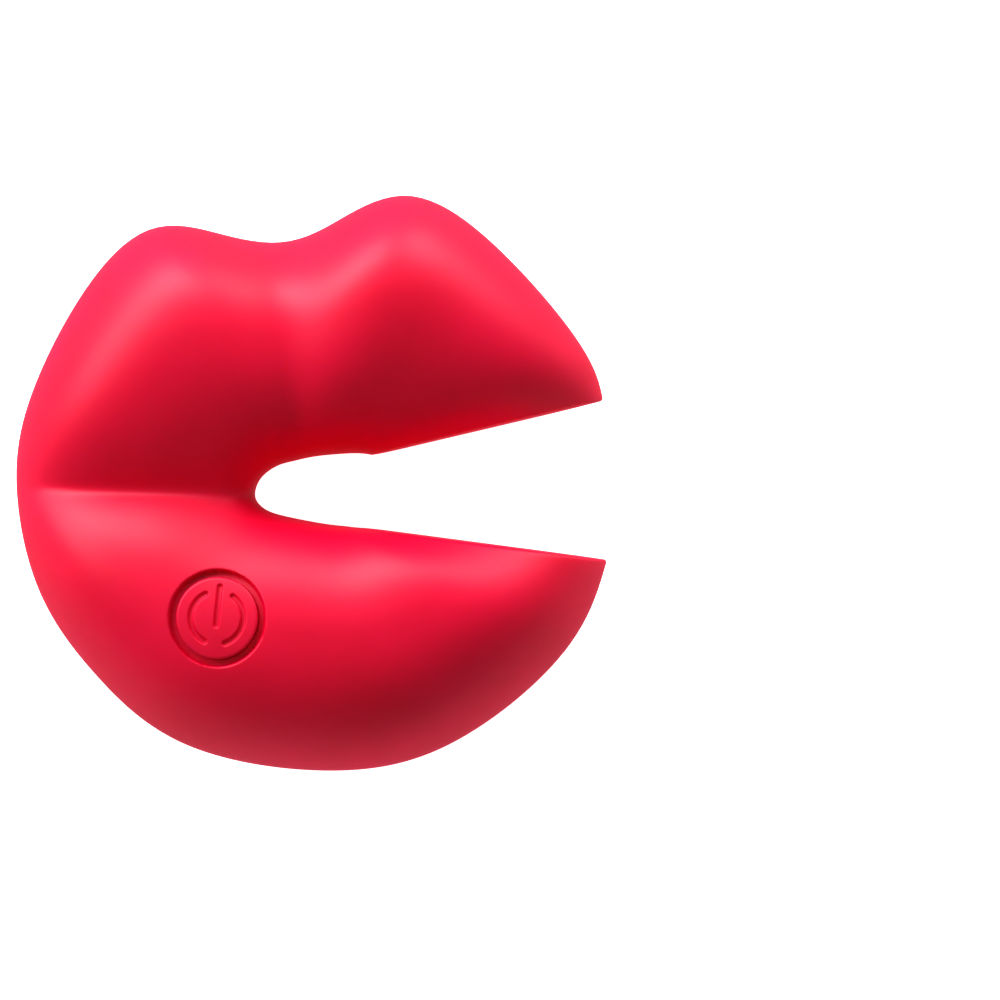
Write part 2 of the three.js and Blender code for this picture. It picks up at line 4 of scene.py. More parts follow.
import bpy
import numpy as np
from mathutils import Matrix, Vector


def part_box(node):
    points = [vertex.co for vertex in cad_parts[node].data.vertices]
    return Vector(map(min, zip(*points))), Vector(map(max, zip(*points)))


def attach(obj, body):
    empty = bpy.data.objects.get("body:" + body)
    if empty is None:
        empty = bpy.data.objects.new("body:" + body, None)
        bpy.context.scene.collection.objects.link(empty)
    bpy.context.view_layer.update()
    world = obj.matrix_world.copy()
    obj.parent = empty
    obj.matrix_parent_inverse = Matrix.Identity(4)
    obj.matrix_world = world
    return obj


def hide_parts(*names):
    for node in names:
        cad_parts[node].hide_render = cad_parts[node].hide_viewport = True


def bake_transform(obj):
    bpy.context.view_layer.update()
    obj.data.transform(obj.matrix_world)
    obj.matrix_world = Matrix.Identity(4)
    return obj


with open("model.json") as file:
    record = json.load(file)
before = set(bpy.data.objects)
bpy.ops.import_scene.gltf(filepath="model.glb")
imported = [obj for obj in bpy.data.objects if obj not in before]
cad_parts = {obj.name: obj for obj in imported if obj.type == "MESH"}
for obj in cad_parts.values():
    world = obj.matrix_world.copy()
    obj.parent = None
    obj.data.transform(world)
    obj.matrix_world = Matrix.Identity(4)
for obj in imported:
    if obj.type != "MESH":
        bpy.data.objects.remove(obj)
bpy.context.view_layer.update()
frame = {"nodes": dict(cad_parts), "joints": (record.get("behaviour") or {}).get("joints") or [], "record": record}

bl_info = {
    "name": "Lips Massager",
    "version": (1, 0, 0),
    "blender": (4, 5, 0),
    "location": "View3D > Sidebar > Lips",
    "description": "Builds a handheld massager shaped like a pair of lips around its packed frame",
    "category": "Object",
}

MM = 0.001

# ---- The lips' driving dimensions, in millimetres: the frame's own, with a softer and shorter crease ----

# Stations around the mouth, from the upper lip's cut face, over the bow, round the closed corner and along
# the lower lip to its cut face: the mouth edge's x and y, the rim's x and y, the crown's height, and the
# crown's share of the way from the mouth edge to the rim.
STATIONS = np.array([
    [5.95, 2.93, 30.6, 5.5, 17.5, 0.46],
    [5.2, 3.15, 28.9, 11.8, 20.0, 0.46],
    [4.3, 3.3, 21.7, 22.7, 21.5, 0.47],
    [3.2, 3.4, 13.0, 29.3, 22.5, 0.5],
    [1.0, 3.5, 4.5, 27.2, 21.8, 0.5],
    [-0.8, 3.45, -1.2, 26.2, 21.0, 0.5],
    [-2.2, 3.3, -6.7, 27.8, 21.8, 0.5],
    [-3.6, 3.1, -14.0, 29.2, 22.5, 0.5],
    [-5.0, 2.5, -21.9, 23.3, 22.0, 0.5],
    [-6.0, 1.6, -28.6, 13.3, 21.5, 0.5],
    [-6.5, 0.4, -31.2, 3.9, 21.2, 0.5],
    [-6.2, -0.65, -30.1, -7.0, 21.6, 0.48],
    [-5.1, -1.6, -25.2, -16.5, 22.0, 0.46],
    [-2.9, -2.5, -16.6, -24.8, 22.5, 0.45],
    [0.2, -3.5, -2.0, -29.2, 22.5, 0.45],
    [2.2, -4.0, 11.2, -27.6, 22.5, 0.45],
    [3.2, -4.25, 23.4, -19.8, 21.6, 0.45],
    [4.1, -4.45, 28.9, -11.0, 18.0, 0.45],
])
LAST_STATION = len(STATIONS) - 1
PLAN_SHIFT = 0.3
RIM_HEIGHT = 6.0
RIM_REACH = 8.0
RIM_SWEEP = math.radians(62)
WALL_TOP = 11.0
WALL_REACH = 3.0
OUTER_FULLNESS = 2.35
INNER_FULLNESS = 2.1
CREASE = {"depth": 4.6, "upper": 6.0, "lower": 4.0, "mouth": 7.0, "fade": 2.0, "softness": 0.6}
RIM_FADE = 1.6

# The line where the lips meet, over the plan: its height at the middle, the dip at the mouth and how wide
# the dip is, then how far it has risen at a corner, how far out that corner is, and the power of the rise.
CREASE_LINE = {"middle": 0.2, "dip": 2.2, "width": 7.5, "rise": 3.8, "corner": 29, "power": 1.3}

# ---- The button, the charging pocket and the ribs, in millimetres ----

PAD_SIDE = 0.85
PAD_EDGE = 0.26
PAD_UNDERCUT = 0.36
GROOVE_WALL = (-0.22, 0.16)
WELL_WALL = (-0.13, -0.03)
WELL_DEPTH = 0.66
SIGN = {"turn": 12.6, "bar": (-0.75, 3.2), "arc": (-67, 59), "radius": 2.7, "stroke": 0.46}
POCKET_WALL = (0.15, 0.4)
POCKET_LIFT = 0.2
RIBS = {"count": 5, "first": 1.65, "step": 0.34, "share": 0.945, "half_width": 0.5, "half_length": 1.7}

# ---- The finish that the skin, the button and the ribs share ----

SKIN_FINISH = "soft_silicone"

# ---- The stage: each light's name, direction, distance and size in metres, and power in watts ----

LIGHTS = (
    ("right_key", (0.624, 0.743, 0.242), 0.6, (0.3, 0.3), 1.15),
    ("bow_key", (-0.153, 0.87, 0.469), 0.6, (0.4, 0.3), 1.9),
    ("left_key", (-0.663, 0.557, 0.5), 0.6, (0.45, 0.3), 1.7),
)
CAMERA = {"place": (18.9, -3.4, 606.0), "lens": 206.9, "turn": -7.3}

# ---- How finely the skin is divided ----

LINES_AROUND = 330
LINES_ACROSS = 262
FINE_STEPS = {"front": 260, "wall": 120, "back": 60, "edge": 90}


# ---- The shape of the lips ----

def spline(values, u):
    """A natural cubic spline through values at 0, 1, 2 and so on, read at u."""
    values = np.asarray(values, float)
    count = len(values)
    system = np.eye(count)
    inner = np.arange(1, count - 1)
    system[inner, inner - 1] = 1
    system[inner, inner] = 4
    system[inner, inner + 1] = 1
    bends = np.zeros_like(values)
    bends[1:-1] = 6 * (values[2:] - 2 * values[1:-1] + values[:-2])
    bends = np.linalg.solve(system, bends)
    step = np.clip(np.floor(u).astype(int), 0, count - 2)
    far = (u - step)[:, None]
    near = 1 - far
    curved = (near**3 - near) * bends[step] + (far**3 - far) * bends[step + 1]
    return near * values[step] + far * values[step + 1] + curved / 6


def crease_line(x):
    """The y of the line where the lips meet: a shallow dip at the mouth that rises to the corners."""
    dip = CREASE_LINE["dip"] * np.exp(-((x / CREASE_LINE["width"]) ** 2))
    rise = CREASE_LINE["rise"] * (np.abs(x) / CREASE_LINE["corner"]) ** CREASE_LINE["power"]
    return CREASE_LINE["middle"] - dip + rise


def lip_sections(u):
    """Closed sections of the lips at the stations u, as fine rows of points, in millimetres.

    A section starts at the rim and is a superellipse quarter up to the crown, a second one down to the
    mouth's wall, an elliptic quarter in to the flat back, a straight line, and an arc out to the rim again.
    The crease is then taken off its height: it falls away exponentially on both sides of the crease line,
    and fades out towards the mouth and towards the rim.
    """
    mouth_x, mouth_y, rim_x, rim_y, crown, share = spline(STATIONS, u).T[:, :, None]
    reach = np.hypot(rim_x - mouth_x, rim_y - mouth_y)
    top = reach * share
    quarter = np.linspace(0, math.pi / 2, FINE_STEPS["front"])[None, :-1]
    wall = np.linspace(0, math.pi / 2, FINE_STEPS["wall"])[None, :-1]
    flat = np.linspace(0, 1, FINE_STEPS["back"])[None, :-1]
    edge = np.linspace(0, RIM_SWEEP, FINE_STEPS["edge"])[None, :]
    outer, inner = 2 / OUTER_FULLNESS, 2 / INNER_FULLNESS
    sine, cosine = np.sin(quarter), np.cos(quarter)
    back_end = reach - RIM_REACH
    one = np.ones_like(reach)
    way = np.hstack([
        top + (reach - top) * cosine**outer,
        top - top * sine**inner,
        WALL_REACH * (1 - np.cos(wall)) * one,
        WALL_REACH + (back_end - WALL_REACH) * flat,
        back_end + RIM_REACH * np.sin(edge) / math.sin(RIM_SWEEP),
    ])
    height = np.hstack([
        RIM_HEIGHT + (crown - RIM_HEIGHT) * sine**outer,
        WALL_TOP + (crown - WALL_TOP) * cosine**inner,
        WALL_TOP * (1 - np.sin(wall)) * one,
        0 * flat * one,
        RIM_HEIGHT * (1 - np.cos(edge)) / (1 - math.cos(RIM_SWEEP)) * one,
    ])
    weight = np.zeros_like(height)
    steps = quarter.shape[1]
    weight[:, :steps] = sine**RIM_FADE
    weight[:, steps:2 * steps] = cosine
    x = mouth_x + (rim_x - mouth_x) * way / reach
    y = mouth_y + (rim_y - mouth_y) * way / reach
    rise = y - crease_line(x)
    spread = np.where(rise > 0, CREASE["upper"], CREASE["lower"])
    rise = np.hypot(rise, CREASE["softness"]) - CREASE["softness"]
    open_side = 1 + np.exp((CREASE["mouth"] - np.abs(x)) / CREASE["fade"])
    height = height - weight * CREASE["depth"] * np.exp(-rise / spread) / open_side
    return np.stack([x + PLAN_SHIFT, y, height], axis=2)


def even_rows(points, shares):
    """Points on each row of a grid at the given shares of the row's length, from 0 to 1."""
    steps = np.linalg.norm(np.diff(points, axis=1), axis=2)
    length = np.hstack([np.zeros((len(points), 1)), np.cumsum(steps, axis=1)])
    length /= length[:, -1:]
    row = 2.0 * np.arange(len(points))[:, None]
    wanted = (shares[None, :] + row).ravel()
    known = (length + row).ravel()
    columns = [np.interp(wanted, known, points[:, :, axis].ravel()) for axis in range(3)]
    return np.stack(columns, axis=1).reshape(len(points), len(shares), 3)


def spaced(places, weight, count):
    """count places whose spacing is inverse to the weight."""
    middle = (weight[1:] + weight[:-1]) / 2 * np.diff(places)
    total = np.concatenate([[0], np.cumsum(middle)])
    return np.interp(np.linspace(0, total[-1], count), total, places)


def smooth_step(value, low, high):
    """0 below low, 1 above high, and a cubic between them."""
    share = np.clip((value - low) / (high - low), 0, 1)
    return share * share * (3 - 2 * share)


def joint_named(name):
    """The frame's joint of that name."""
    return next(joint for joint in frame["joints"] if joint["name"] == name)


def box_middle(node):
    """The middle of a frame node's box in plan, and its size, in millimetres."""
    low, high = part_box(node)
    low, high = np.array(low) / MM, np.array(high) / MM
    return (low + high) / 2, high - low


class Seat:
    """The button's place on the lips: its centre, its axes, and the lips' height over its plane.

    The height is a fourth-degree polynomial of the two plane coordinates, fitted by least squares.
    """

    def __init__(self, points):
        middle, _ = box_middle("button_pad")
        front = points[:, :, 2] > RIM_HEIGHT + 2
        away = np.hypot(points[:, :, 0] - middle[0], points[:, :, 1] - middle[1]) + 1e3 * ~front
        nearest = np.unravel_index(np.argmin(away), away.shape)
        self.index = nearest
        self.axis = -np.array(joint_named("button_press")["axis"], float)
        self.axis /= np.linalg.norm(self.axis)
        self.centre = points[nearest] + 0.0
        self.right = np.array([1.0, 0, 0]) - self.axis[0] * self.axis
        self.right /= np.linalg.norm(self.right)
        self.up = np.cross(self.axis, self.right)
        near = (away < 7).nonzero()
        a, b, height = self.plane(points[near])
        self.fit = np.linalg.lstsq(self.powers(a, b), height, rcond=None)[0]

    def plane(self, points):
        """The two plane coordinates and the height of points."""
        away = points - self.centre
        return away @ self.right, away @ self.up, away @ self.axis

    @staticmethod
    def powers(a, b):
        """Products of powers of a and b up to the fourth degree."""
        return np.stack([a**i * b**j for i in range(5) for j in range(5 - i)], axis=-1)

    def place(self, a, b, sunk):
        """Points at a and b in the plane, sunk below the lips' surface."""
        height = self.powers(a, b) @ self.fit - sunk
        place = self.centre + a[..., None] * self.right + b[..., None] * self.up
        return place + height[..., None] * self.axis


def put_mesh(name, points, faces):
    """A smooth mesh object of that name, from points in millimetres and arrays of quads and triangles."""
    mesh = bpy.data.meshes.new(name)
    corners = [face for part in faces for face in part.tolist()]
    mesh.from_pydata((points * MM).tolist(), [], corners)
    mesh.validate()
    mesh.shade_smooth()
    mesh.update()
    made = bpy.data.objects.new(name, mesh)
    bpy.context.scene.collection.objects.link(made)
    return made


def ring_faces(rings, around, first=0):
    """Quads between rings of points that close on themselves."""
    ring = np.arange(rings - 1)[:, None] * around + first
    here = np.arange(around)[None, :]
    beside = (here + 1) % around
    corners = [ring + here, ring + beside, ring + around + beside, ring + around + here]
    return np.stack([c.ravel() for c in corners], axis=1)


def fan_faces(ring_start, around, middle, turned):
    """Triangles from a closed ring to a middle point."""
    here = ring_start + np.arange(around)
    beside = ring_start + (np.arange(around) + 1) % around
    order = [beside, here] if turned else [here, beside]
    return np.stack(order + [np.full(around, middle)], axis=1)


# ---- Sizes and colours that a user may change ----

class LipsSizes(bpy.types.PropertyGroup):
    pad_radius: bpy.props.FloatProperty(
        name="Button radius", description="Radius of the round button's face",
        default=0.0042, min=0.002, max=0.006, unit="LENGTH")
    groove_width: bpy.props.FloatProperty(
        name="Groove width", description="Width of the groove round the button",
        default=0.00072, min=0.0002, max=0.002, unit="LENGTH")
    groove_depth: bpy.props.FloatProperty(
        name="Groove depth", description="Depth of the groove round the button",
        default=0.0008, min=0.0, max=0.001, unit="LENGTH")
    sign_depth: bpy.props.FloatProperty(
        name="Sign depth", description="Depth of the standby sign on the button",
        default=0.0003, min=0.0, max=0.0006, unit="LENGTH")
    cut_rounding: bpy.props.FloatProperty(
        name="Cut rounding", description="Rounding of the edges of the two cut faces",
        default=0.00035, min=0.0001, max=0.001, unit="LENGTH")
    rib_height: bpy.props.FloatProperty(
        name="Rib height", description="Height of the ribs on the back of the upper lip",
        default=0.00035, min=0.0001, max=0.0008, unit="LENGTH")


class LipsColours(bpy.types.PropertyGroup):
    silicone: bpy.props.FloatVectorProperty(
        name="Silicone", description="Colour of the soft-touch silicone",
        default=(0.85, 0.0008, 0.068, 1), size=4, min=0, max=1, subtype="COLOR")
    silicone_deep: bpy.props.FloatVectorProperty(
        name="Deep silicone", description="Colour of the silicone where it is a little darker",
        default=(0.78, 0.0005, 0.052, 1), size=4, min=0, max=1, subtype="COLOR")
    floor: bpy.props.FloatVectorProperty(
        name="Floor", description="Colour of the floor",
        default=(0.9, 0.9, 0.9, 1), size=4, min=0, max=1, subtype="COLOR")


# ---- Materials ----

class Wire:
    """A node socket. Arithmetic on it adds Math nodes, and node() adds any other kind."""

    def __init__(self, tree, socket):
        self.tree = tree
        self.socket = socket

    def node(self, kind, inputs, settings=(), output=0):
        """Adds a node of a kind, with its settings first and then its inputs by name or number."""
        made = self.tree.nodes.new(kind)
        for name, value in dict(settings).items():
            if name == "stops":
                for stop, (place, colour) in zip(made.color_ramp.elements, value):
                    stop.position = place
                    stop.color = colour
            else:
                setattr(made, name, value)
        for key, value in inputs.items():
            if isinstance(value, Wire):
                self.tree.links.new(value.socket, made.inputs[key])
            else:
                made.inputs[key].default_value = value
        return Wire(self.tree, made.outputs[output]) if len(made.outputs) else None

    def math(self, operation, first, second):
        return self.node("ShaderNodeMath", {0: first, 1: second}, {"operation": operation})

    def __add__(self, other):
        return self.math("ADD", self, other)

    def __radd__(self, other):
        return self.math("ADD", other, self)

    def __sub__(self, other):
        return self.math("SUBTRACT", self, other)

    def __rsub__(self, other):
        return self.math("SUBTRACT", other, self)

    def __mul__(self, other):
        return self.math("MULTIPLY", self, other)

    def __rmul__(self, other):
        return self.math("MULTIPLY", other, self)

    def __pow__(self, other):
        return self.math("POWER", self, other)

    def above(self, low, high):
        """0 below low, 1 above high, and smooth between them."""
        return self.node("ShaderNodeMapRange", {0: self, 1: low, 2: high},
                         {"interpolation_type": "SMOOTHSTEP"})

    def noise(self, scale, detail=2.0, roughness=0.5):
        """Soft noise over this vector."""
        return self.node("ShaderNodeTexNoise",
                         {"Vector": self, "Scale": scale, "Detail": detail, "Roughness": roughness})

    def mix(self, first, second):
        """A colour that this value takes from first to second."""
        return self.node("ShaderNodeMix", {0: self, 6: first, 7: second}, {"data_type": "RGBA"}, 2)

    def bump(self, strength, distance, under=None):
        """A normal raised by this height."""
        inputs = {"Strength": strength, "Distance": distance, "Height": self}
        if under is not None:
            inputs["Normal"] = under
        return self.node("ShaderNodeBump", inputs)


def new_finish(name):
    """An empty material and the wire of its object coordinates."""
    material = bpy.data.materials.new(name)
    material.use_nodes = True
    tree = material.node_tree
    tree.nodes.clear()
    coordinates = tree.nodes.new("ShaderNodeTexCoord")
    return material, Wire(tree, coordinates.outputs["Object"])


def close_finish(material, place, inputs):
    """Ends a material in one Principled shader."""
    shader = place.node("ShaderNodeBsdfPrincipled", inputs)
    place.node("ShaderNodeOutputMaterial", {"Surface": shader})
    return material


def silicone():
    """Matte soft-touch silicone: a fine grain, faint flow marks and a little light under the surface."""
    colours = bpy.context.scene.lips_colours
    material, place = new_finish(SKIN_FINISH)
    cloud = place.noise(70, 3)
    grain = place.noise(5200, 3, 0.6)
    flow = place.noise(260, 2)
    colour = cloud.above(0.3, 0.75).mix(tuple(colours.silicone), tuple(colours.silicone_deep))
    rough = 0.43 + cloud * 0.04 + grain * 0.05
    soft = flow.bump(0.04, 0.0004)
    return close_finish(material, place, {
        "Base Color": colour,
        "Roughness": rough,
        "Specular IOR Level": 0.62,
        "Subsurface Weight": 0.35,
        "Subsurface Radius": (1, 0.12, 0.08),
        "Subsurface Scale": 0.002,
        "Normal": grain.bump(0.08, 0.00004, soft),
    })


def moulded(name, colour, dark, rough=0.5, grain=2600, depth=0.12):
    """Moulded plastic or rubber: a spark-eroded grain and a slow change of tone."""
    material, place = new_finish(name)
    tone = place.noise(150, 3)
    fine = place.noise(grain, 4, 0.7)
    return close_finish(material, place, {
        "Base Color": tone.above(0.3, 0.7).mix(colour, dark),
        "Roughness": rough - 0.06 + fine * 0.12,
        "Normal": fine.bump(depth, 0.00006),
    })


def drawn_metal(name, colour, dark, rough=0.3, lines=(3000, 3000, 250)):
    """Drawn or plated metal: fine streaks along Z, duller patches and small pits."""
    material, place = new_finish(name)
    streaks = place.node("ShaderNodeMapping", {"Vector": place, "Scale": lines})
    streak = streaks.noise(1.0, 3)
    stain = place.noise(420, 4, 0.65)
    return close_finish(material, place, {
        "Base Color": stain.above(0.45, 0.8).mix(colour, dark),
        "Metallic": 1.0,
        "Roughness": rough + streak * 0.16 + stain * 0.08,
        "Normal": streak.bump(0.1, 0.00003),
    })


def foam():
    """Closed-cell foam: small cell pits, darker inside, which is painted shade."""
    material, place = new_finish("foam")
    cells = place.node("ShaderNodeTexVoronoi", {"Vector": place, "Scale": 2400})
    open_cells = cells.above(0.15, 0.6)
    return close_finish(material, place, {
        # painted shade: the colour goes dark in the pits of the cells, where the bump is low
        "Base Color": open_cells.mix((0.015, 0.015, 0.017, 1), (0.075, 0.075, 0.08, 1)),
        "Roughness": 0.8 + open_cells * 0.15,
        "Normal": open_cells.bump(0.5, 0.00015),
    })


def circuit_board():
    """Green solder mask over copper tracks, with tinned pads."""
    material, place = new_finish("board")
    tracks = place.node("ShaderNodeTexBrick", {
        "Vector": place, "Scale": 420, "Mortar Size": 0.035, "Color1": (0, 0, 0, 1),
        "Color2": (0, 0, 0, 1), "Mortar": (1, 1, 1, 1)})
    pads = place.node("ShaderNodeTexVoronoi", {"Vector": place, "Scale": 520})
    tinned = 1 - pads.above(0.16, 0.2)
    green = tracks.mix((0.012, 0.14, 0.05, 1), (0.04, 0.3, 0.11, 1))
    return close_finish(material, place, {
        "Base Color": tinned.mix(green, (0.7, 0.68, 0.62, 1)),
        "Metallic": tinned,
        "Roughness": 0.42 - tinned * 0.14,
        "Normal": (tracks + tinned).bump(0.3, 0.00004),
    })


def wound_copper():
    """Enamelled copper wire in close turns, darker in the grooves between the turns, which is painted shade."""
    material, place = new_finish("copper")
    turns = place.node("ShaderNodeTexWave", {"Vector": place, "Scale": 900, "Distortion": 0.6,
                                             "Detail": 1.0}, {"bands_direction": "X"}, 1)
    return close_finish(material, place, {
        # painted shade: the colour goes dark where the turns' bump is low, in the grooves between them
        "Base Color": turns.mix((0.3, 0.1, 0.03, 1), (0.75, 0.33, 0.14, 1)),
        "Metallic": 0.3 + turns * 0.7,
        "Roughness": 0.45 - turns * 0.12,
        "Normal": turns.bump(0.5, 0.0001),
    })


def shrink_film():
    """Blue shrink film: glossy, with faint wrinkles round the cell."""
    material, place = new_finish("cell_wrap")
    stretched = place.node("ShaderNodeMapping", {"Vector": place, "Scale": (120, 600, 600)})
    wrinkle = stretched.noise(1.0, 3)
    return close_finish(material, place, {
        "Base Color": wrinkle.above(0.3, 0.8).mix((0.02, 0.11, 0.42, 1), (0.05, 0.2, 0.55, 1)),
        "Roughness": 0.25 + wrinkle * 0.15,
        "Coat Weight": 0.3 + wrinkle * 0.1,
        "Normal": wrinkle.bump(0.2, 0.0001),
    })


def clear_resin():
    """Clear cast resin of a small lamp, with a little haze."""
    material, place = new_finish("clear_resin")
    haze = place.noise(900, 2)
    return close_finish(material, place, {
        "Base Color": haze.mix((0.95, 0.95, 0.97, 1), (0.85, 0.88, 0.9, 1)),
        "Roughness": 0.08 + haze * 0.12,
        "Transmission Weight": 0.85,
        "IOR": 1.5,
    })


WIRE_GRAIN = {"rough": 0.35, "grain": 1800, "depth": 0.05}
INNER_FINISHES = {
    "core_plastic": lambda: moulded("core_plastic", (0.82, 0.8, 0.76, 1), (0.74, 0.72, 0.68, 1)),
    "steel": lambda: drawn_metal("steel", (0.6, 0.61, 0.63, 1), (0.42, 0.43, 0.45, 1)),
    "gold_contact": lambda: drawn_metal(
        "gold_contact", (0.83, 0.6, 0.24, 1), (0.62, 0.42, 0.15, 1), 0.2),
    "cell_wrap": shrink_film,
    "foam": foam,
    "board": circuit_board,
    "black_plastic": lambda: moulded(
        "black_plastic", (0.02, 0.02, 0.022, 1), (0.03, 0.03, 0.034, 1), 0.42),
    "clear_resin": clear_resin,
    "ferrite": lambda: moulded(
        "ferrite", (0.1, 0.1, 0.11, 1), (0.17, 0.17, 0.18, 1), 0.6, 4200, 0.4),
    "white_rubber": lambda: moulded(
        "white_rubber", (0.75, 0.75, 0.72, 1), (0.66, 0.66, 0.63, 1), 0.7),
    "copper": wound_copper,
    "red_wire": lambda: moulded(
        "red_wire", (0.55, 0.02, 0.02, 1), (0.42, 0.015, 0.015, 1), **WIRE_GRAIN),
    "black_wire": lambda: moulded(
        "black_wire", (0.018, 0.018, 0.02, 1), (0.03, 0.03, 0.034, 1), **WIRE_GRAIN),
}


# ---- Pieces ----

def skin_grid():
    """The skin's rows and shares, crowded where the button and the charging seat are."""
    coarse = np.linspace(0, LAST_STATION, 340)
    shares = np.linspace(0, 1, 700)
    points = even_rows(lip_sections(coarse), shares)
    pocket, _ = box_middle("contact_seat")
    button_row, button_share = Seat(points).index
    under = np.hypot(points[:, :, 0] - pocket[0], points[:, :, 1] - pocket[1])
    under += 1e3 * (points[:, :, 2] > 0.5)
    pocket_row, pocket_share = np.unravel_index(np.argmin(under), under.shape)
    middle = points[:, 0] * 0.7 + points[:, np.argmax(points[0, :, 2])] * 0.3
    speed = np.linalg.norm(np.gradient(middle, coarse, axis=0), axis=1)
    across = np.linalg.norm(np.gradient(points, coarse, axis=0), axis=2)
    length = np.linalg.norm(np.diff(points[button_row], axis=0), axis=1).sum()
    pocket_length = np.linalg.norm(np.diff(points[pocket_row], axis=0), axis=1).sum()
    half_row = 6.0 / across[button_row, button_share]
    half_pocket = 6.2 / across[pocket_row, pocket_share]
    row_weight = speed * (1
                          + 3.6 * bell(coarse, coarse[button_row], half_row)
                          + 1.8 * bell(coarse, coarse[pocket_row], half_pocket)
                          + 1.6 * bell(coarse, 10.35, 0.5))
    share_weight = (1
                    + 3.6 * bell(shares, shares[button_share], 6.0 / length)
                    + 1.8 * bell(shares, shares[pocket_share], 3.6 / pocket_length))
    return spaced(coarse, row_weight, LINES_AROUND), spaced(shares, share_weight, LINES_ACROSS + 1)[:-1]


def bell(value, middle, half):
    """1 within half of the middle, and falling to 0 over a third more."""
    return 1 - smooth_step(np.abs(value - middle), half, half * 1.33)


def round_cut(section, back, size):
    """Rings that turn a section's edge over on to its plane, and smaller ones that fill the plane.

    The edge follows a quarter circle whose radius grows from nothing at the mouth edge to its full size.
    """
    around = np.roll(section, -1, axis=0) - np.roll(section, 1, axis=0)
    around /= np.linalg.norm(around, axis=1, keepdims=True)
    plane = np.cross(section[40] - section[0], section[90] - section[0])
    plane /= np.linalg.norm(plane)
    inward = np.cross(plane, around)
    centre = section.mean(axis=0)
    inward *= np.sign(np.sum(inward * (centre - section), axis=1).mean())
    mouth = section[np.argmin(np.hypot(section[:, 0], section[:, 1]))]
    away = np.hypot(*(section - mouth)[:, :2].T)
    radius = (size * smooth_step(away, 0.2, 3.0) + 0.02)[:, None]
    turn = np.linspace(0, math.pi / 2, 7)[:, None, None]
    rings = section + back * radius * (1 - np.sin(turn)) + inward * radius * (1 - np.cos(turn))
    share = np.array([0.86, 0.68, 0.46, 0.22])[:, None, None]
    fill = centre + (rings[-1] - centre) * share
    return np.concatenate([rings, fill]), centre


def skin_points():
    """The skin's grid of points before its cut faces are closed, with its rows and shares."""
    rows, shares = skin_grid()
    return even_rows(lip_sections(rows), shares), rows, shares


def build_skin():
    """One soft skin round the whole C of the lips: superelliptic sections along a spline.

    The button's groove and the charging seat's pocket are smooth steps of the distance from their middles.
    """
    sizes = bpy.context.scene.lips_sizes
    points, rows, shares = skin_points()
    seat = Seat(points)
    a, b, height = seat.plane(points)
    radius = np.hypot(a, b)
    here = (np.abs(height) < 4) & (points[:, :, 2] > RIM_HEIGHT + 2)
    pad = sizes.pad_radius / MM
    outer = pad + sizes.groove_width / MM
    groove_wall = [outer + step for step in GROOVE_WALL]
    well_wall = [pad + step for step in WELL_WALL]
    groove = sizes.groove_depth / MM * (1 - smooth_step(radius, *groove_wall))
    well = WELL_DEPTH * (1 - smooth_step(radius, *well_wall))
    points = points - ((groove + well) * here)[:, :, None] * seat.axis
    middle, size = box_middle("contact_seat")
    end = size[0] / 2 - size[1] / 2
    flat_x = np.abs(points[:, :, 0] - middle[0])
    flat_y = points[:, :, 1] - middle[1]
    out = np.hypot(np.maximum(flat_x - end, 0), flat_y) - size[1] / 2
    under = points[:, :, 2] < 2
    top = middle[2] + size[2] / 2 + POCKET_LIFT
    lift = top * (1 - smooth_step(out, *POCKET_WALL)) * under
    points[:, :, 2] = np.maximum(points[:, :, 2], lift)
    ends = even_rows(lip_sections(np.array([0, 0.02, LAST_STATION - 0.02, LAST_STATION])), shares)
    rounding = sizes.cut_rounding / MM
    keep = (rows > 0.07) & (rows < LAST_STATION - 0.07)
    body = points[keep]
    first_back = ends[1] - ends[0]
    last_back = ends[2] - ends[3]
    first_back /= np.linalg.norm(first_back, axis=1, keepdims=True)
    last_back /= np.linalg.norm(last_back, axis=1, keepdims=True)
    first, first_centre = round_cut(ends[0], first_back, rounding)
    last, last_centre = round_cut(ends[3], last_back, rounding)
    rings = np.concatenate([first[::-1], body, last])
    count, around = rings.shape[:2]
    flat = np.concatenate([rings.reshape(-1, 3), [first_centre, last_centre]])
    faces = [
        ring_faces(count, around),
        fan_faces(0, around, count * around, True),
        fan_faces((count - 1) * around, around, count * around + 1, False),
    ]
    skin = put_mesh("lip_skin", flat, outward(flat, faces))
    skin.data.set_sharp_from_angle(angle=math.radians(50))
    return skin


def outward(points, faces):
    """The same faces, turned over if their enclosed volume comes out negative."""
    triangles = np.concatenate([
        np.concatenate([part[:, [0, 1, 2]], part[:, [0, 2, 3]]]) if part.shape[1] == 4 else part
        for part in faces
    ])
    corners = points[triangles]
    volume = np.einsum("ij,ij->i", corners[:, 0], np.cross(corners[:, 1], corners[:, 2])).sum()
    return [part[:, ::-1] for part in faces] if volume < 0 else faces


def sign_depth(a, b):
    """How deep the standby sign is cut, from 0 to 1: a bar, and an arc on each side of it.

    The arcs are parts of one circle about the button's middle, and every stroke has round ends.
    """
    turn = math.radians(SIGN["turn"])
    x = a * math.cos(turn) - b * math.sin(turn)
    y = a * math.sin(turn) + b * math.cos(turn)
    low, high = SIGN["bar"]
    bar = np.hypot(x, y - np.clip(y, low, high))
    angle = np.degrees(np.arctan2(y, np.abs(x)))
    near = np.radians(np.clip(angle, *SIGN["arc"]))
    arc = np.hypot(np.abs(x) - SIGN["radius"] * np.cos(near), y - SIGN["radius"] * np.sin(near))
    away = np.minimum(bar, arc)
    return 1 - smooth_step(away, SIGN["stroke"] * 0.25, SIGN["stroke"] * 0.8)


